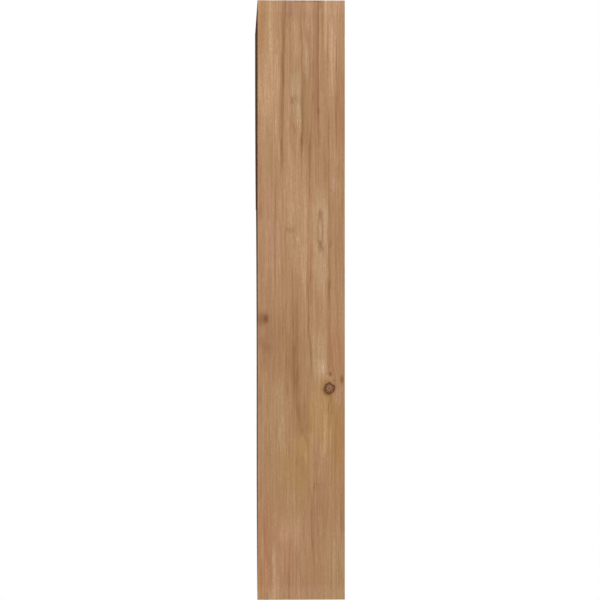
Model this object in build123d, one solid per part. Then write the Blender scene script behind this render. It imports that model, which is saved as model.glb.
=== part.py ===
from build123d import *

import os

# A wall-mounted timber corbel, cut as one piece from a single solid timber.
# Seen from the side it has a flat top, a head with a full belly curve, a square
# ledge under the head, a hollow cove, a straight neck and a rounded nose that
# runs back to a narrow toe at the foot of the wall face.
#
# The origin is the middle of the wall face. +Y points into the wall, the corbel
# reaches out along -Y, +Z is up and X runs across the timber's width.
# All sizes are in millimetres.

# Overall timber: width across the wall, reach from the wall, height up the wall.
WIDTH = 88.9
REACH = 304.8
HEIGHT = 609.6

# Head: the belly curve drops plumb from the front of the top face and sweeps
# back to the lip, where the square ledge cuts in to the throat.
HEAD_HEIGHT = 205.0
LIP_REACH = 221.5
LEDGE_DEPTH = 41.0

# Neck: the straight thinnest part, which the cove and the nose both run into.
NECK_REACH = 101.6
NECK_LENGTH = 34.0

# Nose: the rounded lower end, from the neck down to the toe.
NOSE_HEIGHT = 171.0
TOE_REACH = 6.0

# Finish of the cut timber: the throat's small cutter radius and the edges, which
# are left almost sharp, with only the arris taken off.
THROAT_RADIUS = 2.0
EDGE_EASE = 0.5

NODE = "corbel_timber"

# Heights of the profile's corners, up from the middle of the wall face.
TOP = HEIGHT / 2
FOOT = TOP - HEIGHT
LEDGE_Z = TOP - HEAD_HEIGHT
NOSE_TOP_Z = FOOT + NOSE_HEIGHT
NECK_TOP_Z = NOSE_TOP_Z + NECK_LENGTH

# Corners of the side profile as (y, z), from the wall face round by the front.
WALL_TOP = (0, TOP)
TOP_FRONT = (-REACH, TOP)
LIP = (-LIP_REACH, LEDGE_Z)
THROAT = (LEDGE_DEPTH - LIP_REACH, LEDGE_Z)
NECK_TOP = (-NECK_REACH, NECK_TOP_Z)
NOSE_TOP = (-NECK_REACH, NOSE_TOP_Z)
TOE = (-TOE_REACH, FOOT)
WALL_FOOT = (0, FOOT)

PLUMB_DOWN = (0, -1)
PLUMB_UP = (0, 1)


def side_profile():
    """The corbel seen from the side, on the YZ plane, with the wall face on Y = 0."""
    with BuildSketch(Plane.YZ) as profile:
        with BuildLine():
            Line(WALL_TOP, TOP_FRONT)
            TangentArc(TOP_FRONT, LIP, tangent=PLUMB_DOWN)
            Line(LIP, THROAT)
            TangentArc(NECK_TOP, THROAT, tangent=PLUMB_UP)
            Line(NECK_TOP, NOSE_TOP)
            TangentArc(NOSE_TOP, TOE, tangent=PLUMB_DOWN)
            Line(TOE, WALL_FOOT)
            Line(WALL_FOOT, WALL_TOP)
        make_face()
        fillet(nearest(profile.vertices(), THROAT), THROAT_RADIUS)
    return profile.sketch


def nearest(shapes, point):
    """Of these vertices or edges, the one nearest to a point."""
    return shapes.sort_by_distance(point)[0]


def corbel_timber():
    """The profile sawn through the timber's full width, with its outer edges eased."""
    with BuildPart() as timber:
        extrude(side_profile(), amount=WIDTH / 2, both=True)
        outlines = timber.faces().filter_by(Axis.X).edges()
        across = timber.edges().filter_by(Axis.X)
        outer_corners = (WALL_TOP, TOP_FRONT, LIP, TOE, WALL_FOOT)
        corner_edges = [nearest(across, (0, y, z)) for y, z in outer_corners]
        fillet(outlines + corner_edges, EDGE_EASE)
    timber.part.label = NODE
    return timber.part


os.makedirs("parts", exist_ok=True)
export_step(corbel_timber(), os.path.join("parts", NODE + ".step"))
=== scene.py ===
import math
from typing import NamedTuple

import bpy
import numpy as np
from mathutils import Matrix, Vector


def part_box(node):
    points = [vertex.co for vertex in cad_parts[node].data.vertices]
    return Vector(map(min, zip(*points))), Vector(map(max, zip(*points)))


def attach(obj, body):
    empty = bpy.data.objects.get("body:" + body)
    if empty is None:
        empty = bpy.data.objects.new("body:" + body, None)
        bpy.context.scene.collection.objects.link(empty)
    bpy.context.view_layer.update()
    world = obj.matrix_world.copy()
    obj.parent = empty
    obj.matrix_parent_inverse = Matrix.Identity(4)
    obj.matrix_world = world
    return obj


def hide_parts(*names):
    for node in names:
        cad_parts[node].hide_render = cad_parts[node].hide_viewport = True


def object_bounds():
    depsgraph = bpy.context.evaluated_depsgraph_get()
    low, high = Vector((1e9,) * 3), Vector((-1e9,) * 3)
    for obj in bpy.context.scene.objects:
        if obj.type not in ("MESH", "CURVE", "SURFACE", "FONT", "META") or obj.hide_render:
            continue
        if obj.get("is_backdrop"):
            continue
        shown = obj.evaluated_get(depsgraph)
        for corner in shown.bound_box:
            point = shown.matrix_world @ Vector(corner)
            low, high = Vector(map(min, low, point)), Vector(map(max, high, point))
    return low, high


bl_info = {
    "name": "Timber corbel",
    "version": (1, 0, 0),
    "blender": (4, 5, 0),
    "location": "3D View > Sidebar > Corbel",
    "description": "Dresses a solid timber corbel in softwood grain with knots, on a plain studio stage",
    "category": "Object",
}

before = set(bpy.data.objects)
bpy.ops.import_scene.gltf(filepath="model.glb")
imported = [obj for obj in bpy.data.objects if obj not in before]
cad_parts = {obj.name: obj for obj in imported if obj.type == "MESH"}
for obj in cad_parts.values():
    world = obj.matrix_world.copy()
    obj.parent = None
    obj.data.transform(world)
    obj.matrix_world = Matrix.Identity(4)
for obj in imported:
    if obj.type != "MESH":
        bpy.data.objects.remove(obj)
CAD_LOW, CAD_HIGH = (corner.copy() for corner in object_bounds())
TIMBER_NODE = "corbel_timber"
TIMBER_PIECE = "corbel_timber_dressed"
MM = 0.001

# The timber's own sizes, in millimetres, taken from the frame: width across the wall,
# reach out from the wall and height up the wall.
NODE_LOW, NODE_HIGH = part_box(TIMBER_NODE)
WIDTH, REACH, HEIGHT = ((NODE_HIGH - NODE_LOW) / MM)[:]

# How finely the surface is laid out: steps round a corner of the outline and round an eased
# edge, and the side face's columns as a share of those that the full reach would take.
CORNER_STEPS = 4
EASE_STEPS = 4
COLUMN_SHARE = 0.45


# Settings

class CorbelShape(bpy.types.PropertyGroup):
    """Sizes of the sawn side profile, in millimetres."""
    head_height: bpy.props.FloatProperty(
        name="Head height", description="From the top face down to the ledge", default=205.0, min=20.0)
    lip_reach: bpy.props.FloatProperty(
        name="Lip reach", description="From the wall out to the lip of the ledge", default=221.5, min=20.0)
    ledge_depth: bpy.props.FloatProperty(
        name="Ledge depth", description="From the lip in to the throat", default=41.0, min=2.0)
    neck_reach: bpy.props.FloatProperty(
        name="Neck reach", description="Thickness of the timber at the neck", default=101.6, min=10.0)
    neck_length: bpy.props.FloatProperty(
        name="Neck length", description="Straight stretch between cove and nose", default=34.0, min=1.0)
    nose_height: bpy.props.FloatProperty(
        name="Nose height", description="From the foot up to the neck", default=171.0, min=20.0)
    toe_reach: bpy.props.FloatProperty(
        name="Toe reach", description="Thickness left at the foot", default=6.0, min=2.0)
    throat_radius: bpy.props.FloatProperty(
        name="Throat radius", description="Cutter radius in the throat", default=2.0, min=0.5)
    corner_radius: bpy.props.FloatProperty(
        name="Corner radius", description="Rounding of the outline's corners", default=0.7, min=0.1)
    edge_ease: bpy.props.FloatProperty(
        name="Edge ease", description="How far the long edges are rounded", default=0.5, min=0.05)
    grid_step: bpy.props.FloatProperty(
        name="Grid step", description="Spacing of the surface grid", default=3.6, min=1.0)


class CorbelWood(bpy.types.PropertyGroup):
    """Colours and figure of the softwood."""
    base_tone: bpy.props.FloatVectorProperty(
        name="Base tone", description="Display colour of plain wood", subtype="COLOR_GAMMA",
        size=3, min=0.0, max=1.0, default=(0.6995, 0.539, 0.397))
    ring_spacing: bpy.props.FloatProperty(
        name="Ring spacing", description="Growth ring width in millimetres", default=3.4, min=0.5)
    ring_strength: bpy.props.FloatProperty(
        name="Ring strength", description="How dark the late wood lines are", default=1.0, min=0.0)
    fibre_strength: bpy.props.FloatProperty(
        name="Fibre strength", description="Strength of the fine fibre streaks", default=1.0, min=0.0)
    bump_depth: bpy.props.FloatProperty(
        name="Bump depth", description="Depth of the raised grain", default=0.00012,
        min=0.0, unit="LENGTH", precision=5)


class CorbelStage(bpy.types.PropertyGroup):
    """Camera, lamps and floor."""
    camera_distance: bpy.props.FloatProperty(
        name="Camera distance", description="Behind the wall face", default=2.362, unit="LENGTH")
    camera_offset: bpy.props.FloatProperty(
        name="Camera offset", description="Sideways from the middle", default=0.066, unit="LENGTH")
    aim_offset: bpy.props.FloatProperty(
        name="Aim offset", description="Sideways from the middle to the point aimed at", default=0.0012,
        unit="LENGTH", precision=4)
    floor_drop: bpy.props.FloatProperty(
        name="Floor drop", description="From the foot down to the floor", default=0.9, unit="LENGTH")
    key_power: bpy.props.FloatProperty(name="Key lamp", description="Power in watts", default=68.5)
    front_power: bpy.props.FloatProperty(name="Front lamp", description="Power in watts", default=57.0)
    top_power: bpy.props.FloatProperty(name="Top lamp", description="Power in watts", default=28.0)
    world_level: bpy.props.FloatProperty(
        name="World level", description="Light from all round", default=0.15, min=0.0, max=1.0)


# Surface of the timber

def grid_steps(shape, length, fewest=2):
    """How many steps of the surface grid cover a length."""
    return max(fewest, int(round(length / shape.grid_step)))


def plumb_arc(run, drop):
    """Length and turn of the arc that is plumb at one end and covers this run and drop.

    The chord leans by half the turn, so turn = 2 atan(run / drop) and
    radius = chord / (2 sin(turn / 2)).
    """
    half = math.atan2(run, drop)
    radius = math.hypot(run, drop) / (2.0 * math.sin(half))
    return radius * 2.0 * half, 2.0 * half


def walk(start, heading, pieces):
    """Points and headings of a path made of straights and arcs.

    Each piece is (length, turn, steps). The heading turns evenly along a piece, and each
    step's chord is its length times sin(d/2)/(d/2), d being the step's turn. The points
    are the running sum of the chords.
    """
    lengths = np.concatenate([np.full(n, length / n) for length, turn, n in pieces])
    turns = np.concatenate([np.full(n, turn / n) for length, turn, n in pieces])
    headings = heading + np.concatenate([[0.0], np.cumsum(turns)])
    middle = headings[:-1] + turns / 2.0
    chord = lengths * np.sinc(turns / (2.0 * np.pi))
    steps = np.stack([chord * np.cos(middle), chord * np.sin(middle)], axis=1)
    points = np.asarray(start, float) + np.concatenate([np.zeros((1, 2)), np.cumsum(steps, axis=0)])
    return points, headings


def side_chains(shape):
    """The front and the wall edge of the side profile as matching rows of (y, z) points.

    Both run from the top to the foot and have as many points, so that row i of the side
    face is the straight line from front[i] to wall[i]. Returns the two chains and their
    outward normals.
    """
    top, foot = HEIGHT / 2.0, -HEIGHT / 2.0
    r = shape.corner_radius
    quarter = math.pi / 2.0
    cove_drop = HEIGHT - shape.head_height - shape.nose_height - shape.neck_length
    throat_reach = shape.lip_reach - shape.ledge_depth
    belly, belly_turn = plumb_arc(REACH - shape.lip_reach, shape.head_height)
    cove, cove_turn = plumb_arc(throat_reach - shape.neck_reach, cove_drop)
    nose, nose_turn = plumb_arc(shape.neck_reach - shape.toe_reach, shape.nose_height)
    lip_turn, throat_turn, toe_turn = quarter - belly_turn, quarter - cove_turn, quarter - nose_turn
    lip_trim = r * math.tan(lip_turn / 2.0)
    throat_trim = shape.throat_radius * math.tan(throat_turn / 2.0)
    toe_trim = r * math.tan(toe_turn / 2.0)
    pieces = [
        (r * quarter, quarter, CORNER_STEPS),
        (belly - r - lip_trim, belly_turn, grid_steps(shape, belly)),
        (r * lip_turn, lip_turn, CORNER_STEPS),
        (shape.ledge_depth - lip_trim - throat_trim, 0.0, grid_steps(shape, shape.ledge_depth)),
        (shape.throat_radius * throat_turn, -throat_turn, CORNER_STEPS),
        (cove - throat_trim, -cove_turn, grid_steps(shape, cove)),
        (shape.neck_length, 0.0, grid_steps(shape, shape.neck_length)),
        (nose - toe_trim, nose_turn, grid_steps(shape, nose)),
        (r * toe_turn, toe_turn, CORNER_STEPS),
    ]
    front, headings = walk((-REACH + r, top), math.pi, pieces)
    front_out = np.stack([np.sin(headings), -np.cos(headings)], axis=1)

    # Down the wall the rows keep pace with the front, one stretch above the ledge's level
    # and one below it, with a quarter round at each end.
    counts = np.array([n for length, turn, n in pieces])
    to_throat = counts[:4].sum()
    rows = counts.sum()
    bend = np.linspace(0.0, quarter, CORNER_STEPS + 1)
    upper = np.linspace(top - r, top - shape.head_height, to_throat - CORNER_STEPS + 1)
    lower = np.linspace(top - shape.head_height, foot + r, rows - to_throat - CORNER_STEPS + 1)
    level = np.concatenate([upper, lower[1:]])
    wall = np.concatenate([
        np.stack([r * np.sin(bend) - r, top - r + r * np.cos(bend)], axis=1),
        np.stack([np.zeros(len(level) - 2), level[1:-1]], axis=1),
        np.stack([r * np.cos(bend) - r, foot + r - r * np.sin(bend)], axis=1),
    ])
    wall_out = np.concatenate([
        np.stack([np.sin(bend), np.cos(bend)], axis=1),
        np.tile([1.0, 0.0], (len(level) - 2, 1)),
        np.stack([np.cos(bend), -np.sin(bend)], axis=1),
    ])
    return front, front_out, wall, wall_out


def timber_mesh(shape):
    """Vertices in metres and faces of the closed timber surface.

    The side face is a ruled surface of two parameters, row i down the timber and t from
    the front edge to the wall edge: P(i, t) = (1 - t) front(i) + t wall(i). Its rim is
    carried across the width as a loop. Over the last bit at each side the loop is drawn in
    by e (1 - cos a) while it moves on by e sin a, a quarter round of radius e.
    """
    front, front_out, wall, wall_out = side_chains(shape)
    rows = len(front) - 1
    cols = grid_steps(shape, COLUMN_SHARE * REACH, fewest=4)
    t = np.linspace(0.0, 1.0, cols + 1)[None, :, None]

    def section(inset):
        """The side face's grid of (y, z) points, drawn in by the inset."""
        a = (front - inset * front_out)[:, None, :]
        b = (wall - inset * wall_out)[:, None, :]
        return (1.0 - t) * a + t * b

    i_top, j_top = np.zeros(cols + 1, int), np.arange(cols, -1, -1)
    i_front, j_front = np.arange(1, rows + 1), np.zeros(rows, int)
    i_foot, j_foot = np.full(cols, rows), np.arange(1, cols + 1)
    i_wall, j_wall = np.arange(rows - 1, 0, -1), np.full(rows - 1, cols)
    ring_i = np.concatenate([i_top, i_front, i_foot, i_wall])
    ring_j = np.concatenate([j_top, j_front, j_foot, j_wall])
    ring = len(ring_i)

    e = shape.edge_ease
    bend = np.linspace(0.0, math.pi / 2.0, EASE_STEPS + 1)
    half = WIDTH / 2.0
    across = np.linspace(-half + e, half - e, grid_steps(shape, WIDTH, fewest=4) + 1)
    places = np.concatenate([-half + e - e * np.cos(bend)[:-1], across, half - e + e * np.sin(bend)[1:]])
    insets = np.concatenate([e - e * np.sin(bend)[:-1], np.zeros(len(across)), e - e * np.cos(bend)[1:]])

    loops = []
    for x, inset in zip(places, insets):
        yz = section(inset)[ring_i, ring_j]
        loops.append(np.column_stack([np.full(ring, x), yz]))
    inner = section(e)[1:-1, 1:-1].reshape(-1, 2)
    left = np.column_stack([np.full(len(inner), -half), inner])
    right = np.column_stack([np.full(len(inner), half), inner])
    points = np.concatenate(loops + [left, right]) * MM

    k = np.arange(ring)
    after = (k + 1) % ring
    skin = np.concatenate([
        np.column_stack([n * ring + k, n * ring + after, (n + 1) * ring + after, (n + 1) * ring + k])
        for n in range(len(places) - 1)
    ])

    def cap(first_ring, first_inner):
        """Faces of one side, between its rim's points and its inner points."""
        index = np.empty((rows + 1, cols + 1), int)
        index[1:-1, 1:-1] = first_inner + np.arange((rows - 1) * (cols - 1)).reshape(rows - 1, cols - 1)
        index[ring_i, ring_j] = first_ring + k
        corners = [index[:-1, :-1], index[1:, :-1], index[1:, 1:], index[:-1, 1:]]
        return np.stack(corners, axis=-1).reshape(-1, 4)

    base = len(places) * ring
    left_cap = cap(0, base)[:, ::-1]
    right_cap = cap((len(places) - 1) * ring, base + len(inner))
    faces = np.concatenate([skin, left_cap, right_cap])
    return points, faces.tolist()


def make_object(name, points, faces, material, smooth=True):
    """An object at the origin from numpy points and a list of faces."""
    mesh = bpy.data.meshes.new(name)
    mesh.from_pydata(points.tolist(), [], faces)
    mesh.polygons.foreach_set("use_smooth", np.full(len(faces), smooth))
    mesh.materials.append(material)
    mesh.update()
    made = bpy.data.objects.new(name, mesh)
    bpy.context.scene.collection.objects.link(made)
    return made


# Softwood

class Nodes:
    """Short names for laying out a node tree, one call for each node."""

    def __init__(self, tree):
        self.tree = tree

    def new(self, kind, **settings):
        """A node of this kind, with its settings made."""
        node = self.tree.nodes.new(kind)
        for name, value in settings.items():
            setattr(node, name, value)
        return node

    def feed(self, socket, value):
        """Links another node's output to the socket, or sets the socket to a plain value."""
        if isinstance(value, bpy.types.NodeSocket):
            self.tree.links.new(value, socket)
        elif value is not None:
            socket.default_value = value

    def math(self, operation, a, b=None, c=None):
        """A number worked out from up to three numbers."""
        node = self.new("ShaderNodeMath", operation=operation)
        for socket, value in zip(node.inputs, (a, b, c)):
            self.feed(socket, value)
        return node.outputs[0]

    def centred(self, noise, span):
        """Noise of about 0 to 1, made to run from -span / 2 to span / 2."""
        return self.math("MULTIPLY_ADD", noise, span, -0.5 * span)

    def vector(self, operation, a, b=None, c=None, scale=None):
        """A vector worked out from up to three; a dot product or a length is a number."""
        node = self.new("ShaderNodeVectorMath", operation=operation)
        for socket, value in zip(node.inputs, (a, b, c)):
            self.feed(socket, value)
        if scale is not None:
            self.feed(node.inputs["Scale"], scale)
        return node.outputs["Value" if operation in ("DOT_PRODUCT", "LENGTH") else "Vector"]

    def split(self, vector):
        """The three parts of a vector."""
        node = self.new("ShaderNodeSeparateXYZ")
        self.feed(node.inputs[0], vector)
        return node.outputs

    def join(self, x, y, z):
        """A vector made of three parts."""
        node = self.new("ShaderNodeCombineXYZ")
        for socket, value in zip(node.inputs, (x, y, z)):
            self.feed(socket, value)
        return node.outputs[0]

    def noise(self, vector, detail=2.0, roughness=0.5, offset=(0.0, 0.0, 0.0), stretch=(1.0, 1.0, 1.0)):
        """Noise of unit grain at vector * stretch + offset, about 0 to 1."""
        place = self.vector("MULTIPLY_ADD", vector, stretch, offset)
        node = self.new("ShaderNodeTexNoise", noise_dimensions="3D")
        self.feed(node.inputs["Vector"], place)
        self.feed(node.inputs["Scale"], 1.0)
        self.feed(node.inputs["Detail"], detail)
        self.feed(node.inputs["Roughness"], roughness)
        return node.outputs

    def ramp(self, factor, stops, interpolation="LINEAR"):
        """The value or colour at this factor between stops of (place, value)."""
        node = self.new("ShaderNodeValToRGB")
        node.color_ramp.interpolation = interpolation
        elements = node.color_ramp.elements
        while len(elements) < len(stops):
            elements.new(0.5)
        for element, (place, value) in zip(elements, stops):
            element.position = place
            element.color = (*value, 1.0) if hasattr(value, "__len__") else (value, value, value, 1.0)
        self.feed(node.inputs[0], factor)
        return node.outputs[0]

    def smooth_step(self, value, start, end):
        """0 where the value is start or beyond, 1 at end, and a smooth step between.

        The smooth step stays within 0 and 1 by itself, so the node needs no clamp.
        """
        node = self.new("ShaderNodeMapRange", interpolation_type="SMOOTHSTEP", clamp=False)
        for name, number in (("From Min", start), ("From Max", end)):
            self.feed(node.inputs[name], number)
        self.feed(node.inputs["Value"], value)
        return node.outputs["Result"]

    def mix(self, factor, a, b):
        """Colour a, going over to b as the factor goes from 0 to 1."""
        node = self.new("ShaderNodeMix", data_type="RGBA")
        self.feed(node.inputs["Factor"], factor)
        self.feed(node.inputs[6], a)
        self.feed(node.inputs[7], b)
        return node.outputs[2]


def empty_nodes(owner):
    """The node tree of a material or world, emptied."""
    owner.use_nodes = True
    owner.node_tree.nodes.clear()
    return Nodes(owner.node_tree)


# Figure of the wall face, in millimetres from the middle of the face. Each line holds x
# across, z up, half width and half height, then the change of tone in display levels: how
# much lighter, yellower and redder than plain wood.
# Soft patches first: broad changes of tone with no edge.
PATCHES = (
    # Upper third: pale wood towards both edges, a greenish patch and darker wood between.
    (31, 236, 16, 100, 10, 1, 0),
    (38, 206, 12, 42, 9, 1, 0),
    (40, 168, 6, 14, 5, 0, -1),
    (6, 205, 9, 34, 6, -3, -6),
    (-12, 180, 12, 60, -7, 0, 1),
    (-30, 266, 12, 70, 10, -2, 0),
    (-5, 188, 8, 56, 0, 0, -4),
    (-40, 186, 11, 70, -8, 0, 4),
    (4, 296, 15, 16, -7, -3, 1),
    # Middle: pale tan, pinker by one edge and darker by the other.
    (8, 88, 17, 84, 8, -1, -1),
    (31, 60, 10, 90, 5, -2, 1),
    (-20, 137, 12, 34, -8, 0, 0),
    (-38, 66, 12, 90, -5, 0, 0),
    # Below the middle: darker wood, reddish beside the main knot, yellow and brown below it.
    (30, -44, 20, 58, -9, -1, 1),
    (42, -148, 6, 26, 0, 0, -4),
    (33, -288, 6, 16, 0, 0, 3),
    (42, -20, 7, 10, -12, 2, 1),
    (41, -43, 5, 9, -8, 1, 1),
    (8, -45, 16, 74, -9, 0, 0),
    (-36, -50, 14, 46, -4, 1, 5),
    (-38, -96, 9, 16, 7, -4, 2),
    (-22, -112, 17, 58, 2, 9, -1),
    (-11, -118, 7, 46, -1, 6, 0),
    (-38, -132, 13, 50, -8, 9, 3),
    (0, -148, 13, 20, 1, 6, -1),
    (3, -124, 10, 26, -8, 2, 0),
    # Foot: olive and brown, then a reddish edge, pale middle and greenish far side.
    (16, -168, 16, 40, -2, 6, -3),
    (-1, -180, 16, 46, -5, 8, -1),
    (-36, -172, 13, 44, -4, 5, 2),
    (-20, -217, 16, 42, -6, 0, 0),
    (35, -244, 12, 70, -2, 2, 8),
    (5, -237, 18, 20, 6, -1, 0),
    (-35, -264, 12, 44, 4, 1, -5),
    (-36, -298, 12, 12, 0, 0, -4),
    (-10, -300, 12, 12, 0, -5, 0),
    (-4, -292, 10, 18, -4, 0, 2),
    (41, -288, 8, 30, 0, 7, 4),
    (8, -274, 11, 44, -1, -1, 5),
)

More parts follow.
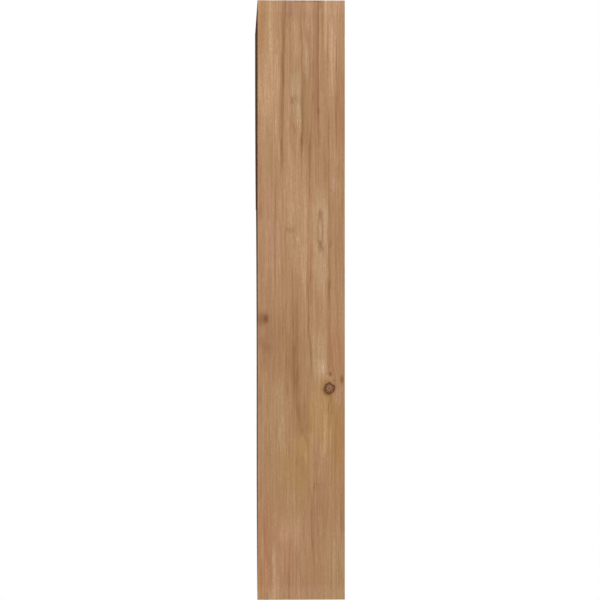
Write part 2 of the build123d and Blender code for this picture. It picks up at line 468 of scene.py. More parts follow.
# Streaks next, with clean sides and ragged ends. A last value, where a line has one, is its
# lean: the sideways run for each millimetre up.
STREAKS = (
    # Edge stripe by the shaded side, orange at the top and redder all the way down.
    (40.5, 282, 2.2, 34, -3, 7, 5),
    (42.2, -50, 1.5, 260, 0, 1, 4),
    (42, 142, 2.0, 14, 0, -3, 2),
    (42, -36, 2.0, 12, 0, -4, 0),
    (41.7, -98, 2.0, 10, -5, 0, 0),
    # Pale lines, then the long leaning dark line and the band it runs in.
    (36.6, 292, 0.9, 14, -7, 0, 0),
    (31.4, 276, 1.4, 36, 9, 1, -4),
    (24.4, 203, 2.0, 66, 8, -1, 0),
    (22.6, 256, 0.7, 24, -6, 0, 0),
    (17.6, 262, 1.1, 46, -12, 0, 1, -0.03),
    (19.0, 190, 1.0, 44, -9, 0, 1, -0.02),
    (19.0, 238, 2.2, 84, -8, 0, 0, -0.022),
    (13.4, 184, 2.0, 40, 4, 0, 0),
    (17.3, 300, 1.4, 8, -6, -3, 0),
    (13.3, 284, 1.6, 10, -4, 0, 0),
    (10.2, 220, 1.4, 10, 4, 0, 0),
    (22.4, 152, 1.4, 10, 5, 0, 0),
    (5.1, 160, 2.2, 10, 4, 0, 0),
    # Short marks beside the middle.
    (12.5, 298, 3.0, 12, -6, -4, 2),
    (0.6, 286, 0.9, 22, -9, -1, 1),
    (5.6, 262, 2.2, 40, 5, -2, -1),
    (-6.6, 290, 1.8, 18, 9, -3, 1),
    (-4.8, 244, 1.8, 20, 8, -2, -3),
    (2.6, 190, 1.4, 26, 6, 0, 0),
    (-8.0, 190, 1.2, 28, 5, 0, 0),
    (6, 219, 4.2, 12, 5, -2, -3),
    (2.6, 191, 2.4, 9, 8, -3, -4),
    (9, 203, 1.5, 4, -12, 1, 2),
    (5.5, 205, 1.2, 4, -8, 1, 2),
    (7.5, 174, 1.0, 7, -8, 1, 2, 0.3),
    (-0.6, 250, 0.9, 30, -13, 0, 0),
    (-0.9, 184, 1.1, 36, -14, 0, 0),
    (-4.6, 192, 3.6, 46, -5, 0, 2),
    # Second long dark line and pale lines beyond it.
    (-17.0, 244, 1.1, 74, -13, -1, 0),
    (-14.8, 246, 2.8, 72, -7, -3, 1),
    (-21.6, 276, 0.9, 30, -7, 0, 0),
    (-24.6, 284, 1.2, 32, 9, 0, 0),
    (-31.0, 240, 0.9, 44, 15, 0, -1),
    (-35.9, 212, 0.9, 46, -8, 0, 0),
    (-38.4, 292, 1.0, 18, 6, 0, 0),
    (-27.2, 262, 1.0, 24, -6, 0, 0),
    (-28.4, 212, 0.7, 18, 6, 0, 0),
    (-18.2, 166, 1.6, 10, -7, 0, 0),
    (-19.4, 301, 1.5, 6, -6, 0, 0),
    (-15.0, 152, 1.6, 8, -4, 0, 0),
    (-37.5, 130, 2.0, 10, -5, 0, 0),
    (-35, 268, 0.7, 42, 6, 0, 0),
    (-27.7, 168, 0.8, 22, -8, 0, 0),
    (-42.2, 214, 1.4, 50, -2, 3, 2),
    # Middle: yellowish and pink stretches, dark lines.
    (35, 140, 3.8, 18, 1, 2, -4),
    (33, 101, 1.9, 17, 4, -3, 3),
    (31.5, 56, 3.2, 26, 3, -2, 2),
    (41.2, 90, 2.2, 8, -6, 1, 0),
    (41.4, 68, 1.6, 7, 2, 5, 3),
    (41.8, 216, 1.6, 14, 5, 2, 0),
    (41.8, 127, 1.4, 10, -5, 0, 0),
    (41.8, -190, 1.6, 14, -5, 0, 0),
    (19.8, 147, 1.5, 18, -10, 0, 2),
    (-3.6, 60, 1.3, 74, 9, -1, 0),
    (2, 66, 2.4, 18, 2, 0, -4),
    (1, 46, 3.5, 24, 5, 0, 0),
    (11.2, 71, 4.5, 3, -8, 0, 0),
    (16.4, 46, 1.0, 34, -8, 0, 0),
    (26.6, 50, 1.0, 52, -8, 0, 1),
    (22.6, 56, 1.2, 28, 5, 0, 0),
    (35.6, 26, 1.6, 14, 5, 0, 0),
    (19.8, 9, 1.2, 16, 4, 0, 0),
    (6.2, 40, 2.0, 12, 4, 0, 0),
    (9.4, 8, 1.6, 26, -3, 0, 0),
    (22.4, 96, 2.0, 10, 4, 0, 0),
    (-0.2, 148, 0.8, 22, -9, 0, 0),
    (-8.8, 132, 1.3, 32, -8, 0, 2),
    (-8.7, 108, 1.1, 9, -3, 1, 7),
    (-9.8, 38, 1.2, 22, -7, 1, 6),
    (-10.2, 12, 1.3, 18, -8, 0, 0),
    # Pale bed of the long oval eye, and the dark marks at its ends.
    (-19, 60, 8.2, 54, 7, -2, -2),
    (-24.6, 74, 1.5, 20, 11, -3, -3),
    (-23.6, 6, 1.3, 34, 6, 0, 0),
    (-19.6, 89, 1.6, 4, -8, 0, 2),
    (-20.0, 55.5, 1.7, 6, -12, 0, 5, 0.35),
    # Dark line along the eye's side and marks on it.
    (-28.9, 62, 1.1, 92, -10, 1, 0),
    (-29.6, 57, 1.3, 4, -9, 3, -1),
    (-29.6, 16, 1.2, 5, -9, 1, 0),
    (-35.2, 66, 0.7, 60, -5, 0, 0),
    (-33, 118, 1.5, 8, 7, -5, 2),
    (-42, 106, 1.0, 24, -7, 0, 0),
    # Below the middle: the dark band's lines.
    (6, -52, 2.8, 56, -8, 0, 0),
    (7.2, -68, 0.9, 26, -8, 0, 0),
    (14.6, -78, 2.2, 22, -6, 0, 0),
    (3.6, -98, 1.8, 30, -7, 0, 0),
    (0.6, -124, 2.6, 16, -4, 2, 1),
    (-6, -124, 1.6, 14, -5, 2, 0),
    (-3.9, -116, 1.6, 22, -7, 1, 0),
    (-9.8, -126, 1.6, 9, -6, 1, 0),
    (-23, -50, 2.6, 16, 0, 0, 4),
    (-3.5, -138, 1.2, 7, -6, 2, 1, 0.3),
    (-7.7, -15, 1.0, 28, -9, 0, 0),
    (-10.4, -58, 0.9, 30, -8, 0, -1, 0.088),
    (20.5, -122, 3.2, 38, 6, -1, -3),
    (-24.2, -136, 2.2, 28, 7, 3, 0),
    (35.4, -150, 1.0, 90, 4, 0, 0),
    (10, -122, 0.8, 24, 4, 1, 0),
    (40.3, -117, 0.8, 48, 2, -2, -5),
    # Pale strip above the main knot and lines round the knot.
    (-18.9, -57, 7.8, 26, 8, -1, -4),
    (-20.4, -68, 3.6, 9, 9, -5, 0),
    (-16.3, -60, 0.5, 26, -8, 0, -1),
    (-20.4, -62, 0.5, 24, -8, 0, -1),
    (-28.6, -46, 0.9, 34, -7, 1, 1),
    (-26.6, -54, 1.3, 18, -6, 1, 1),
    (-34.4, -82, 2.4, 0.9, -9, 0, 0),
    (-24.4, -82.4, 1.8, 0.9, -7, 0, 0),
    (-30.5, -106, 1.2, 14, -9, 2, 0),
    (-28.0, -106, 1.2, 11, -8, 2, 0, -0.18),
    (-43.0, -86, 1.3, 36, -5, 0, 0),
    (-22, -132, 0.8, 26, -5, 2, 1),
    # Foot: fine dark lines, a small ring mark and a pale stripe.
    (-2, -150, 3.5, 12, 4, 2, 0),
    (-28.4, -119, 1.8, 12, -5, 0, 0),
    (-29.4, -178, 2.4, 12, -4, 0, 0),
    (-20.3, -230, 2.4, 12, 4, 0, 0),
    (-7, -252, 2.0, 12, 4, 0, 0),
    (27.5, -228, 2.0, 14, 5, 0, 0),
    (-5.2, -145, 1.8, 8, -5, 0, 0),
    (-35.6, -214, 2.2, 12, -4, 0, 0),
    (35.0, -280, 1.2, 14, 4, 0, 0),
    (-15.2, -168, 0.9, 22, -9, 0, 1),
    (-15.5, -190, 2.8, 4, -9, 1, 0),
    (-15.5, -190, 1.4, 2.2, 9, 0, 0),
    (-22.5, -163, 3.5, 20, 2, 0, 2),
    (-11.6, -228, 1.7, 36, -5, -1, 0),
    (-41.5, -215, 2.0, 26, -6, 0, 1),
    (19, -232, 4.5, 14, 5, 0, 2),
    (18, -254, 4.5, 24, 2, 0, 3),
    (39.4, -246, 0.8, 14, 5, 4, -4),
    (40.6, -284, 1.1, 24, -6, 0, 0),
    (35.6, -282, 1.3, 22, 4, 2, 1),
    (31.6, -270, 1.1, 40, -4, 0, 0),
    (29.6, -301, 3.6, 6, 5, 0, 0),
    (23.2, -288, 2.0, 12, 4, 0, 0),
    (27.4, -276, 1.7, 30, 13, -1, 0),
    (12.3, -276, 1.2, 36, -10, 0, 1),
    (2.2, -288, 1.4, 16, 5, 0, 0),
    (-41.5, -290, 1.8, 18, -3, 5, 0),
    # Paler bands along the foot and along the top, and a short dark line at the top edge.
    (0, -299, 46, 9, 4, 0, 0),
    (0, 300, 46, 9, 4, 0, 0),
    (-6, 304.5, 14, 2, -9, 0, 0),
)
# How deep the figure goes, in millimetres. Then what all streaks share: their strength, how far
# their soft sides reach in and out, which grows with the half width, and how far along, squared
# and in half heights, they have ended and are still whole.
FIGURE_DEPTH = 34.0
STREAK_STRENGTH = 1.25
STREAK_EDGE = 0.4
STREAK_EDGE_GROWTH = 0.08
STREAK_GONE = 1.3
STREAK_WHOLE = 0.3


def figure_group(name, vectors, values, share):
    """A node group that adds its Change times share(n, given) to a running Tone."""
    group = bpy.data.node_groups.new(name, "ShaderNodeTree")
    for kind, names in (("Vector", ("Tone", "Place", "Middle", "Change") + vectors), ("Float", values)):
        for socket in names:
            group.interface.new_socket(socket, in_out="INPUT", socket_type="NodeSocket" + kind)
    group.interface.new_socket("Tone", in_out="OUTPUT", socket_type="NodeSocketVector")
    n = Nodes(group)
    given = n.new("NodeGroupInput").outputs
    part = share(n, given)
    tone = n.vector("MULTIPLY_ADD", n.join(part, part, part), given["Change"], given["Tone"])
    n.feed(n.new("NodeGroupOutput").inputs["Tone"], tone)
    return group


def patch_share(n, given):
    """(1 - d) squared and 0 beyond d = 1, d being the squared distance from the middle in half sizes."""
    away = n.vector("MULTIPLY", n.vector("SUBTRACT", given["Place"], given["Middle"]), given["Reach"])
    near = n.math("MAXIMUM", n.math("SUBTRACT", 1.0, n.vector("DOT_PRODUCT", away, away)), 0.0)
    return n.math("MULTIPLY", near, near)


def streak_share(n, given):
    """A side step times an end step.

    The side step falls from 1 to 0 from one edge inside the half width to one edge outside.
    The end step falls slowly with the squared distance, along in half heights and inwards in
    figure depths. The ragged value is added along, so that each fibre ends at its own height.
    """
    away = n.vector("SUBTRACT", given["Place"], given["Middle"])
    across = n.math("ABSOLUTE", n.vector("DOT_PRODUCT", away, given["Across"]))
    side = n.smooth_step(n.math("SUBTRACT", across, given["Half width"]), 1.0, -1.0)
    along = n.vector("MULTIPLY_ADD", away, given["Reach"], given["Ragged"])
    end = n.smooth_step(n.vector("DOT_PRODUCT", along, along), STREAK_GONE, STREAK_WHOLE)
    return n.math("MULTIPLY", side, end)


def wall_figure(n, place, ragged):
    """The summed tone of the wall face's patches and streaks, each reaching a little way in."""
    patch = figure_group("patch", ("Reach",), (), patch_share)
    streak = figure_group("streak", ("Across", "Reach", "Ragged"), ("Half width",), streak_share)

    def add(group, tone, across, up, change, **given):
        """The running tone after one more mark."""
        given.update(Tone=tone, Place=place, Middle=(across, 0.0, up), Change=change)
        node = n.new("ShaderNodeGroup", node_tree=group)
        for name, value in given.items():
            n.feed(node.inputs[name.replace("_", " ")], value)
        return node.outputs["Tone"]

    tone = (0.0, 0.0, 0.0)
    for across, up, half_width, half_height, *change in PATCHES:
        reach = (1.0 / half_width, 1.0 / FIGURE_DEPTH, 1.0 / half_height)
        tone = add(patch, tone, across, up, change, Reach=reach)
    for across, up, half_width, half_height, lighter, yellower, redder, *lean in STREAKS:
        slope = lean[0] if lean else 0.0
        edge = STREAK_EDGE + STREAK_EDGE_GROWTH * half_width
        change = [STREAK_STRENGTH * part for part in (lighter, yellower, redder)]
        tone = add(streak, tone, across, up, change,
                   Across=(1.0 / edge, 0.0, -slope / edge), Half_width=half_width / edge,
                   Reach=(0.0, 1.0 / FIGURE_DEPTH, 1.0 / half_height), Ragged=ragged)
    return tone


class Knot(NamedTuple):
    """A mark of the wall face that runs in as a branch does, in millimetres.

    Its middle across and up the face, its half sizes, how far in it reaches, and how far the
    grain parts round it.
    """
    x: float
    z: float
    half_width: float
    half_height: float
    depth: float
    parting: float


MAIN_KNOT = Knot(-28.8, -89.7, 5.3, 5.6, 150.0, 6.5)
MAIN_SHADOW = Knot(-27.0, -91.6, 5.6, 5.6, 40.0, 0.0)
EDGE_HALO = Knot(38.6, -18.6, 5.2, 5.6, 40.0, 0.0)
EDGE_KNOT = Knot(35.9, -19.2, 2.0, 3.3, 40.0, 3.0)
FAINT_KNOT = Knot(34.5, -48.6, 4.6, 4.6, 40.0, 2.5)
SIDE_KNOT = Knot(-41.4, -80.8, 1.9, 3.8, 30.0, 1.5)
PIN_KNOT = Knot(-29.6, -75.2, 1.6, 2.2, 30.0, 1.0)
LONG_EYE = Knot(-19.3, 71.0, 2.7, 20.0, 30.0, 0.0)
KNOTS = (MAIN_KNOT, EDGE_KNOT, FAINT_KNOT, SIDE_KNOT, PIN_KNOT)

# How fast a branch climbs as it leaves the wall, and the least share that it thins away to.
KNOT_CLIMB = 0.22
KNOT_THINNEST = 0.02

# How strongly the grain is drawn in close to a knot, and the depth in millimetres over which
# it parts.
PARTING_PULL = 0.8
PARTING_DEPTH = 25.0

# Display colours of the marks and how much they cover, as ramps over half the distance in
# radii from the mark's axis, which put its rim at 0.5.
HALO_COLOUR = (0.62, 0.44, 0.31, 1.0)
HALO_COVER = ((0.48, 0.75), (0.62, 0.45), (0.85, 0.12), (1.0, 0.0))
SHADOW_COLOUR = (0.46, 0.31, 0.17, 1.0)
SHADOW_COVER = ((0.3, 0.7), (0.55, 0.0))
MAIN_COLOURS = (
    (0.0, (0.60, 0.45, 0.33)), (0.10, (0.50, 0.35, 0.24)), (0.20, (0.62, 0.47, 0.35)),
    (0.29, (0.44, 0.29, 0.20)), (0.36, (0.55, 0.39, 0.28)), (0.43, (0.36, 0.22, 0.13)),
    (0.5, (0.38, 0.24, 0.15)), (0.56, (0.52, 0.35, 0.23)))
MAIN_COVER = ((0.0, 0.95), (0.48, 0.95), (0.57, 0.0))
EYE_COLOURS = ((0.0, (0.78, 0.63, 0.49)), (0.2, (0.74, 0.59, 0.45)), (0.38, (0.58, 0.43, 0.31)))
EYE_COVER = ((0.0, 0.6), (0.2, 0.5), (0.42, 0.55), (0.62, 0.0))

# The small spots: the mark, its colour and how much it covers in its middle.
SPOTS = (
    (EDGE_HALO, (0.57, 0.41, 0.28, 1.0), 0.8),
    (EDGE_KNOT, (0.50, 0.32, 0.25, 1.0), 0.85),
    (FAINT_KNOT, (0.60, 0.42, 0.33, 1.0), 0.55),
    (SIDE_KNOT, (0.53, 0.37, 0.22, 1.0), 0.8),
    (PIN_KNOT, (0.52, 0.33, 0.21, 1.0), 0.75),
)
SPOT_FADE = ((0.0, 1.0), (0.3, 0.9), (0.5, 0.4), (0.9, 0.0))

# Noise of the knots' ragged rims and of the mottled wood inside the main one, and how far each
# swings. The mottle moves green a little less than red, and blue less still.
RIM_NOISE = {"detail": 1.0, "roughness": 0.4, "stretch": (0.2, 0.1, 0.2), "offset": (4.0, 8.0, 15.0)}
MOTTLE_NOISE = {"detail": 1.0, "roughness": 0.6, "stretch": (1.0, 0.2, 1.0), "offset": (9.0, 1.0, 6.0)}
RIM_SWING = 0.6
MOTTLE_SWING = 0.9
MOTTLE_GREEN = 0.9
MOTTLE_BLUE = 0.8


def parted(n, place, knot):
    """The place with the grain parted round a knot.

    Close to the knot x is drawn back towards its axis by the share
    pull exp(-((dx / w)^2 + (dy / d)^2 + (dz / 2w)^2)), w being the width and d the depth that
    the grain parts over, so that the lines crowd and bow round it.
    """
    width = knot.half_width + knot.parting
    away = n.vector("SUBTRACT", place, (knot.x, 0.0, knot.z))
    away = n.vector("MULTIPLY", away, (1.0, width / PARTING_DEPTH, 0.5))
    near = n.math("DIVIDE", n.vector("DOT_PRODUCT", away, away), -width * width)
    share = n.math("MULTIPLY", n.math("EXPONENT", near), -PARTING_PULL)
    return n.vector("MULTIPLY_ADD", away, n.join(share, 0.0, 0.0), place)


def half_reach(n, place, knot, ragged):
    """Half the distance from a knot's axis over its radius there, so that 0.5 is its rim.

    The branch climbs as it leaves the wall and thins evenly to a thread at its depth. The
    ragged value, noise about 0, moves the rim.
    """
    x, y, z = n.split(place)
    dx = n.math("MULTIPLY_ADD", x, 1.0 / knot.half_width, -knot.x / knot.half_width)
    climbed = n.math("MULTIPLY_ADD", y, KNOT_CLIMB, z)
    dz = n.math("MULTIPLY_ADD", climbed, 1.0 / knot.half_height, -knot.z / knot.half_height)
    reach = n.math("SQRT", n.math("MULTIPLY_ADD", dx, dx, n.math("MULTIPLY", dz, dz)))
    thinned = n.math("MULTIPLY_ADD", y, 1.0 / knot.depth, 1.0)
    reach = n.math("DIVIDE", reach, n.math("MAXIMUM", thinned, KNOT_THINNEST))
    return n.math("MULTIPLY", n.math("ADD", reach, ragged), 0.5)


def laid_knots(n, place, colour):
    """The colour with the knots and the long eye laid in.

    The main knot has a dark uneven bark ring, brown mottled wood inside with a paler middle,
    a warm halo and a dark shadow low down by one side. The long eye is a pale oval with a
    browner rim, and the others are small dark or faint spots.
    """
    ragged = n.centred(n.noise(place, **RIM_NOISE)["Fac"], RIM_SWING)
    mottle = n.centred(n.noise(place, **MOTTLE_NOISE)["Fac"], MOTTLE_SWING)

    main = half_reach(n, place, MAIN_KNOT, ragged)
    shadow = half_reach(n, place, MAIN_SHADOW, ragged)
    colour = n.mix(n.ramp(main, HALO_COVER), colour, HALO_COLOUR)
    colour = n.mix(n.ramp(shadow, SHADOW_COVER), colour, SHADOW_COLOUR)
    green = n.math("MULTIPLY", mottle, MOTTLE_GREEN)
    blue = n.math("MULTIPLY", mottle, MOTTLE_BLUE)
    inside = n.vector("ADD", n.ramp(main, MAIN_COLOURS), n.join(mottle, green, blue))
    colour = n.mix(n.ramp(main, MAIN_COVER), colour, inside)

    eye = half_reach(n, place, LONG_EYE, ragged)
    colour = n.mix(n.ramp(eye, EYE_COVER), colour, n.ramp(eye, EYE_COLOURS))

    for knot, tint, strength in SPOTS:
        fade = [(place_on_ramp, strength * share) for place_on_ramp, share in SPOT_FADE]
        cover = n.ramp(half_reach(n, place, knot, ragged), fade)
        colour = n.mix(cover, colour, tint)
    return colour


# The tree's heart, which lies behind the wall face: its x and y in millimetres.
HEART = (6.0, 92.0)

# The heart wanders by this many millimetres up the timber. The rings' spacing is uneven by
# this many rings, with noise that changes at this pace from ring to ring. Within a ring the
# late wood's share follows the ramp.
WANDER_NOISE = {"stretch": (0.012, 0.012, 0.0042)}
WANDER = 14.0
UNEVEN_RINGS = 2.4
UNEVEN_PACE = 0.31
LATE_WOOD = ((0.0, 0.35), (0.12, 0.0), (0.6, 0.18), (0.9, 1.0), (1.0, 0.35))


def growth_rings(n, flow, wood):
    """Late wood share, 0 to 1, of rings round the heart.

    The ring number is the distance from the heart over the ring spacing, made uneven by
    noise. Within a ring the late wood darkens slowly and then fades quickly.
    """
    wander = n.noise(flow, **WANDER_NOISE)["Color"]
    wander = n.vector("MULTIPLY_ADD", wander, (WANDER, WANDER, 0.0), (-WANDER / 2.0, -WANDER / 2.0, 0.0))
    x, y, z = n.split(n.vector("ADD", flow, wander))
    dx = n.math("SUBTRACT", x, HEART[0])
    dy = n.math("SUBTRACT", y, HEART[1])
    radius = n.math("SQRT", n.math("MULTIPLY_ADD", dx, dx, n.math("MULTIPLY", dy, dy)))
    ring = n.math("DIVIDE", radius, wood.ring_spacing)
    uneven = n.noise(n.join(n.math("MULTIPLY", ring, UNEVEN_PACE), 0.0, 0.0), detail=1.0)["Fac"]
    ring = n.math("MULTIPLY_ADD", uneven, UNEVEN_RINGS, ring)
    return n.ramp(n.math("FRACT", ring), LATE_WOOD)


# Noise of the fibres, from long ones up the timber to short flecks, and of the broad bands.
LONG_FIBRE = {"detail": 1.0, "roughness": 0.6, "stretch": (0.5, 0.5, 0.0045), "offset": (3.0, 9.0, 5.0)}
FIBRE = {"roughness": 0.65, "stretch": (0.66, 0.66, 0.024), "offset": (13.0, 4.0, 2.0)}
DASH = {"detail": 1.0, "stretch": (0.9, 0.9, 0.3), "offset": (1.0, 23.0, 7.0)}
FLECK = {"detail": 1.0, "stretch": (0.8, 0.8, 0.07), "offset": (31.0, 3.0, 17.0)}
BANDS = {"stretch": (0.11, 0.11, 0.0065), "offset": (5.0, 2.0, 11.0)}

# The wall face's figure wavers and frays sideways by these many millimetres, and its streaks'
# ends are ragged by this many half heights. Its strength is the least and the short fibres' grip.
WAVER_NOISE = {"detail": 1.0, "stretch": (0.02, 0.02, 0.03), "offset": (7.0, 7.0, 1.0)}
WAVER = 2.4
FRAY = 1.8
RAGGED_ENDS = 1.6
FIGURE_GRIP = 0.8
FIGURE_LEAST = 0.6

# What runs through the whole timber, in display levels: how far the bands swing lighter,
# yellower and redder, and the fibres lighter; how much darker rings and end grain
# are, and the share of the rings' darkness that reddens.
BAND_LIGHTER = 44.0
BAND_YELLOWER = 20.0
BAND_REDDER = 16.0
LONG_FIBRE_LEVELS = 24.0
FIBRE_LEVELS = 34.0
DASH_LEVELS = 20.0
RING_LEVELS = 4.0
RING_LEVELS_INSIDE = 5.0
RING_LEVELS_END_GRAIN = 12.0
END_GRAIN_LEVELS = 14.0
RING_REDNESS = 0.25

# The bands and rings reach full strength at this depth in millimetres from the wall face, on
# which the bands have this share of it.
FACE_DEPTH = 30.0
BANDS_ON_FACE = 0.25

# Flecks: where in the noise they start and are whole, their levels on a plain face, the least,
# and how much a paler figure adds to the pale ones and takes from the dark ones.
PALE_FLECKS = (0.56, 0.70)
PALE_LEVELS = (6.5, 3.5)
DARK_FLECKS = (0.40, 0.27)
DARK_LEVELS = (4.0, 2.5)
FLECK_PULL = 0.7

# Raised grain: the late wood's and the short fibres' share in it. Then the wood's roughness,
# how much less it is along a pale fibre, how strongly the wood mirrors, and the power that
# turns a display colour into the shader's.
LATE_RELIEF = 0.4
DASH_RELIEF = 0.5
ROUGHNESS = 0.84
FIBRE_SHEEN = 0.15
GLOSS = 0.2
DISPLAY_GAMMA = 2.2


def face_tone(n, place, fibre, long_fibre, dash):
    """Tone of the wall face's figure, wavering up the timber and frayed by the fibres."""
    waver = n.noise(place, **WAVER_NOISE)["Fac"]
    shift = n.centred(waver, WAVER)
    shift = n.math("MULTIPLY_ADD", n.math("SUBTRACT", fibre, 0.5), FRAY, shift)
    ragged = n.join(0.0, 0.0, n.centred(long_fibre, RAGGED_ENDS))
    tone = wall_figure(n, n.vector("ADD", place, n.join(shift, 0.0, 0.0)), ragged)
    grip = n.math("MULTIPLY_ADD", dash, FIGURE_GRIP, FIGURE_LEAST)
    return n.vector("MULTIPLY", tone, n.join(grip, grip, grip))


def flecks(n, flow, figure_light):
    """Pale flecks less dark ones, in levels, each as strong as the figure under it allows."""
    fleck = n.noise(flow, **FLECK)["Fac"]

    def kind(limits, levels, pull):
        """Flecks between the limits, of max(pull * figure + plain level, least level)."""
        plain, least = levels
        strength = n.math("MAXIMUM", n.math("MULTIPLY_ADD", figure_light, pull, plain), least)
        return n.math("MULTIPLY", n.smooth_step(fleck, *limits), strength)

    pale = kind(PALE_FLECKS, PALE_LEVELS, FLECK_PULL)
    dark = kind(DARK_FLECKS, DARK_LEVELS, -FLECK_PULL)
    return n.math("SUBTRACT", pale, dark)


def display_colour(n, tone, base_tone):
    """The base tone changed by a tone of lighter, yellower and redder levels.

    Red is lighter + yellower / 3 + redder / 2, green is lighter + yellower / 3 - redder / 2
    and blue is lighter - 2 yellower / 3.
    """
    light, yellow, red = n.split(n.vector("SCALE", tone, scale=1.0 / 255.0))
    third = n.math("MULTIPLY_ADD", yellow, 1.0 / 3.0, light)
    change = n.join(
        n.math("MULTIPLY_ADD", red, 0.5, third),
        n.math("MULTIPLY_ADD", red, -0.5, third),
        n.math("MULTIPLY_ADD", yellow, -2.0 / 3.0, light))
    return n.vector("ADD", change, tuple(base_tone))


def softwood(wood):
    """Solid softwood in three dimensions, so that every face cuts the same rings and fibres.

    A tone of three parts, lighter, yellower and redder, is summed from the wall face's figure,
    broad bands, fibres, flecks, rings and end grain and turned into a display colour, and
    then the knots are laid in.
    """
    material = bpy.data.materials.new("softwood")
    n = empty_nodes(material)
    shader = n.new("ShaderNodeBsdfPrincipled")
    output = n.new("ShaderNodeOutputMaterial")
    n.feed(output.inputs["Surface"], shader.outputs[0])
    coordinates = n.new("ShaderNodeTexCoord")
    place = n.vector("SCALE", coordinates.outputs["Object"], scale=1.0 / MM)
    flow = place
    for knot in KNOTS:
        flow = parted(n, flow, knot)

    long_fibre = n.noise(flow, **LONG_FIBRE)["Fac"]
    fibre = n.noise(flow, **FIBRE)["Fac"]
    dash = n.noise(flow, **DASH)["Fac"]
    bands = n.noise(flow, **BANDS)["Color"]
    late = growth_rings(n, flow, wood)
    figure = face_tone(n, place, fibre, long_fibre, dash)

    # End grain shows where a face looks up or down.
    facing = n.split(coordinates.outputs["Normal"])[2]
    end_grain = n.math("MULTIPLY", facing, facing)
    inward = n.smooth_step(n.split(place)[1], 0.0, -FACE_DEPTH)

    # Bands and fibres.
    broad = n.math("MULTIPLY_ADD", inward, 1.0 - BANDS_ON_FACE, BANDS_ON_FACE)
    red, yellow, light = n.split(bands)
    light = n.math("MULTIPLY", n.centred(light, BAND_LIGHTER), broad)
    yellow = n.math("MULTIPLY", n.centred(yellow, BAND_YELLOWER), broad)
    red = n.math("MULTIPLY", n.centred(red, BAND_REDDER), broad)
    for grain, levels in ((long_fibre, LONG_FIBRE_LEVELS), (fibre, FIBRE_LEVELS), (dash, DASH_LEVELS)):
        middle = n.math("SUBTRACT", grain, 0.5)
        light = n.math("MULTIPLY_ADD", middle, levels * wood.fibre_strength, light)
    light = n.math("MULTIPLY_ADD", flecks(n, flow, n.split(figure)[0]), wood.fibre_strength, light)

    # Rings are deeper away from the wall face and deepest in end grain, which is darker too.
    ring_levels = n.math("MULTIPLY_ADD", inward, RING_LEVELS_INSIDE, RING_LEVELS)
    ring_levels = n.math("MULTIPLY_ADD", end_grain, RING_LEVELS_END_GRAIN, ring_levels)
    late_dark = n.math("MULTIPLY", late, n.math("MULTIPLY", ring_levels, wood.ring_strength))
    light = n.math("SUBTRACT", light, late_dark)
    light = n.math("MULTIPLY_ADD", end_grain, -END_GRAIN_LEVELS, light)
    red = n.math("MULTIPLY_ADD", late_dark, RING_REDNESS, red)

    tone = n.vector("ADD", figure, n.join(light, yellow, red))
    colour = laid_knots(n, place, display_colour(n, tone, wood.base_tone))
    gamma = n.new("ShaderNodeGamma")
    n.feed(gamma.inputs["Color"], colour)
    n.feed(gamma.inputs["Gamma"], DISPLAY_GAMMA)
    n.feed(shader.inputs["Base Color"], gamma.outputs[0])

    short_relief = n.math("ADD", fibre, n.math("MULTIPLY", dash, DASH_RELIEF))
    bump = n.new("ShaderNodeBump")
    bump.inputs["Strength"].default_value = 1.0
    bump.inputs["Distance"].default_value = wood.bump_depth
    n.feed(bump.inputs["Height"], n.math("MULTIPLY_ADD", late, LATE_RELIEF, short_relief))
    n.feed(shader.inputs["Normal"], bump.outputs[0])
    n.feed(shader.inputs["Roughness"], n.math("MULTIPLY_ADD", fibre, -FIBRE_SHEEN, ROUGHNESS))
    shader.inputs["Specular IOR Level"].default_value = GLOSS
    return material


# Operators

# Weight of the flat faces in the shading, so that they stay flat up to their eased edges.
FLAT_WEIGHT = 90

# Camera: heights of the wall face and of the whole picture in pixels, which give the lens, the
# sensor's width in millimetres, and how near and how far the camera sees, in metres.
FACE_IN_PICTURE = 599.6
PICTURE_HEIGHT = 600.0
SENSOR_WIDTH = 36.0
NEAR_CLIP = 0.05
FAR_CLIP = 60.0

# Lamps: name, place, point aimed at and size, in metres.
KEY_LAMP = ("key lamp", (-0.75, 2.7, 0.75), (0.0, 0.0, 0.0), 1.1)
FRONT_LAMP = ("front lamp", (-0.95, -2.4, 0.8), (0.0, -0.15, 0.0), 1.3)
TOP_LAMP = ("top lamp", (-0.8, -0.3, 2.2), (0.0, -0.15, 0.2), 1.3)

# Share of the world's light that mirrored rays lose.
MIRROR_LOSS = 0.8

# Floor: its rings and spokes, where from middle to rim it turns white, its shades as the
# camera sees them, and the grey that it casts back as light.
FLOOR_RINGS = 12
FLOOR_SPOKES = 96
FLOOR_RIM = ((0.12, 0.0), (0.55, 1.0))
FLOOR_SHADES = ((0.3, 0.93), (0.7, 0.95))
FLOOR_BOUNCE = (0.35, 0.35, 0.35, 1.0)


class CORBEL_OT_timber(bpy.types.Operator):
    """Makes the timber's surface, dresses it in softwood and lets it stand for the solid"""
    bl_idname = "corbel.timber"
    bl_label = "Make the timber"

    def execute(self, context):
        scene = context.scene
        points, faces = timber_mesh(scene.corbel_shape)
        piece = make_object(TIMBER_PIECE, points, faces, softwood(scene.corbel_wood))
        weighted = piece.modifiers.new("flat faces", "WEIGHTED_NORMAL")
        weighted.mode = "FACE_AREA"
        weighted.weight = FLAT_WEIGHT
        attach(piece, "root")
        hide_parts(TIMBER_NODE)
        return {"FINISHED"}


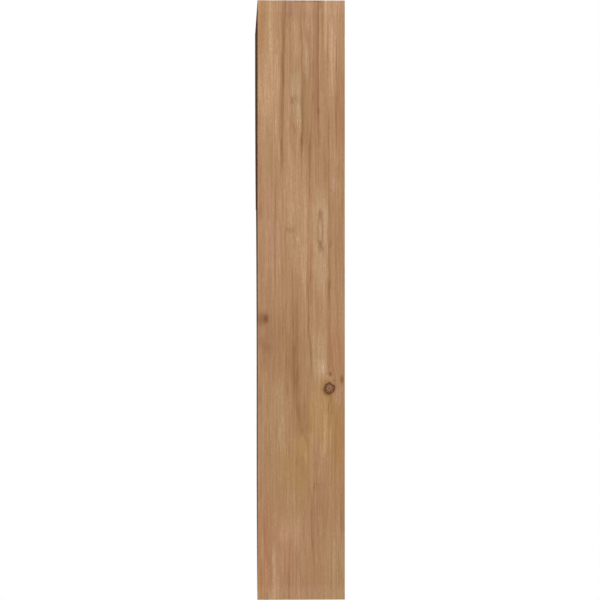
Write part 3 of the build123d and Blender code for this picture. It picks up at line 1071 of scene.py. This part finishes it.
def area_lamp(name, place, aim, size, watts):
    """A soft square lamp at place, facing aim, hidden from the camera."""
    light = bpy.data.lights.new(name, "AREA")
    light.shape = "SQUARE"
    light.size = size
    light.energy = watts
    lamp = bpy.data.objects.new(name, light)
    lamp.location = place
    lamp.rotation_euler = (Vector(aim) - Vector(place)).to_track_quat("-Z", "Y").to_euler()
    lamp.visible_camera = False
    bpy.context.scene.collection.objects.link(lamp)


class CORBEL_OT_stage(bpy.types.Operator):
    """Sets the camera square to the wall face, the lamps, the white background and the pale floor"""
    bl_idname = "corbel.stage"
    bl_label = "Set the stage"

    def execute(self, context):
        scene = context.scene
        stage = scene.corbel_stage
        # Camera: turned a little towards the timber, its frame just taller than the wall face.
        camera = bpy.data.cameras.new("camera")
        camera_object = bpy.data.objects.new("camera", camera)
        camera_object.location = (stage.camera_offset, stage.camera_distance, 0.0)
        aim = Vector((stage.aim_offset, 0.0, 0.0))
        camera_object.rotation_euler = (aim - camera_object.location).to_track_quat("-Z", "Y").to_euler()
        half_frame = HEIGHT * MM / 2.0 * PICTURE_HEIGHT / FACE_IN_PICTURE
        camera.sensor_width = SENSOR_WIDTH
        camera.lens = camera.sensor_width / 2.0 * (aim - camera_object.location).length / half_frame
        camera.clip_start, camera.clip_end = NEAR_CLIP, FAR_CLIP
        scene.collection.objects.link(camera_object)
        scene.camera = camera_object

        area_lamp(*KEY_LAMP, stage.key_power)
        area_lamp(*FRONT_LAMP, stage.front_power)
        area_lamp(*TOP_LAMP, stage.top_power)

        world = bpy.data.worlds.new("studio")
        scene.world = world
        n = empty_nodes(world)
        path = n.new("ShaderNodeLightPath").outputs
        loss = -MIRROR_LOSS * stage.world_level
        lit = n.math("MULTIPLY_ADD", path["Is Glossy Ray"], loss, stage.world_level)
        level = n.math("MAXIMUM", path["Is Camera Ray"], lit)
        background = n.new("ShaderNodeBackground")
        background.inputs["Color"].default_value = (1.0, 1.0, 1.0, 1.0)
        n.feed(background.inputs["Strength"], level)
        world_output = n.new("ShaderNodeOutputWorld")
        n.feed(world_output.inputs["Surface"], background.outputs[0])

        floor_z = CAD_LOW.z - stage.floor_drop
        floor_disc("floor", floor_z, 2.6)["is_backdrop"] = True

        scene.view_settings.view_transform = "Standard"
        return {"FINISHED"}


def floor_disc(name, z, radius):
    """A round floor in metres: rings of points at radius * a and angle b, on one level."""
    rings, spokes = FLOOR_RINGS, FLOOR_SPOKES
    a = np.linspace(0.0, 1.0, rings + 1)[1:]
    b = np.linspace(0.0, 2.0 * math.pi, spokes, endpoint=False)
    x, y = radius * np.outer(a, np.cos(b)), radius * np.outer(a, np.sin(b))
    points = np.column_stack([x.ravel(), y.ravel(), np.full(rings * spokes, z)])
    points = np.concatenate([points, [[0.0, 0.0, z]]])
    k, after = np.arange(spokes), (np.arange(spokes) + 1) % spokes
    quads = np.concatenate([
        np.column_stack([m * spokes + k, (m + 1) * spokes + k, (m + 1) * spokes + after, m * spokes + after])
        for m in range(rings - 1)
    ])
    middle = np.column_stack([np.full(spokes, rings * spokes), k, after])
    faces = quads.tolist() + middle.tolist()
    return make_object(name, points, faces, floor_paint(radius), smooth=False)


def floor_paint(radius):
    """Pale matt floor that keeps shadows near the middle and turns white towards its rim."""
    material = bpy.data.materials.new("pale floor")
    n = empty_nodes(material)
    place = n.new("ShaderNodeTexCoord").outputs["Object"]
    flat = n.vector("MULTIPLY", place, (1.0 / radius, 1.0 / radius, 0.0))
    away = n.vector("LENGTH", flat)
    rim = n.ramp(away, FLOOR_RIM, "EASE")
    path = n.new("ShaderNodeLightPath").outputs["Is Camera Ray"]
    matt = n.new("ShaderNodeBsdfDiffuse")
    shade = n.ramp(n.noise(place, stretch=(3.0, 3.0, 3.0))["Fac"], FLOOR_SHADES)
    n.feed(matt.inputs["Color"], n.mix(path, FLOOR_BOUNCE, shade))
    white = n.new("ShaderNodeEmission")
    white.inputs["Strength"].default_value = 1.0
    blend = n.new("ShaderNodeMixShader")
    n.feed(blend.inputs[0], n.math("MULTIPLY", rim, path))
    n.feed(blend.inputs[1], matt.outputs[0])
    n.feed(blend.inputs[2], white.outputs[0])
    output = n.new("ShaderNodeOutputMaterial")
    n.feed(output.inputs["Surface"], blend.outputs[0])
    return material


class CORBEL_PT_panel(bpy.types.Panel):
    """Lists the corbel's settings and steps"""
    bl_idname = "CORBEL_PT_panel"
    bl_label = "Timber corbel"
    bl_space_type = "VIEW_3D"
    bl_region_type = "UI"
    bl_category = "Corbel"

    def draw(self, context):
        layout = self.layout
        for owner in ("corbel_shape", "corbel_wood", "corbel_stage"):
            settings = getattr(context.scene, owner)
            box = layout.box()
            for name in settings.__annotations__:
                box.prop(settings, name)
        layout.operator("corbel.timber")
        layout.operator("corbel.stage")


CLASSES = (CorbelShape, CorbelWood, CorbelStage, CORBEL_OT_timber, CORBEL_OT_stage, CORBEL_PT_panel)


def register():
    for cls in CLASSES:
        bpy.utils.register_class(cls)
    bpy.types.Scene.corbel_shape = bpy.props.PointerProperty(type=CorbelShape)
    bpy.types.Scene.corbel_wood = bpy.props.PointerProperty(type=CorbelWood)
    bpy.types.Scene.corbel_stage = bpy.props.PointerProperty(type=CorbelStage)


def unregister():
    del bpy.types.Scene.corbel_stage
    del bpy.types.Scene.corbel_wood
    del bpy.types.Scene.corbel_shape
    for cls in reversed(CLASSES):
        bpy.utils.unregister_class(cls)


def main():
    """Registers the add-on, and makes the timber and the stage."""
    register()
    bpy.ops.corbel.timber()
    bpy.ops.corbel.stage()
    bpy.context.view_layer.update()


if __name__ == "__main__":
    main()
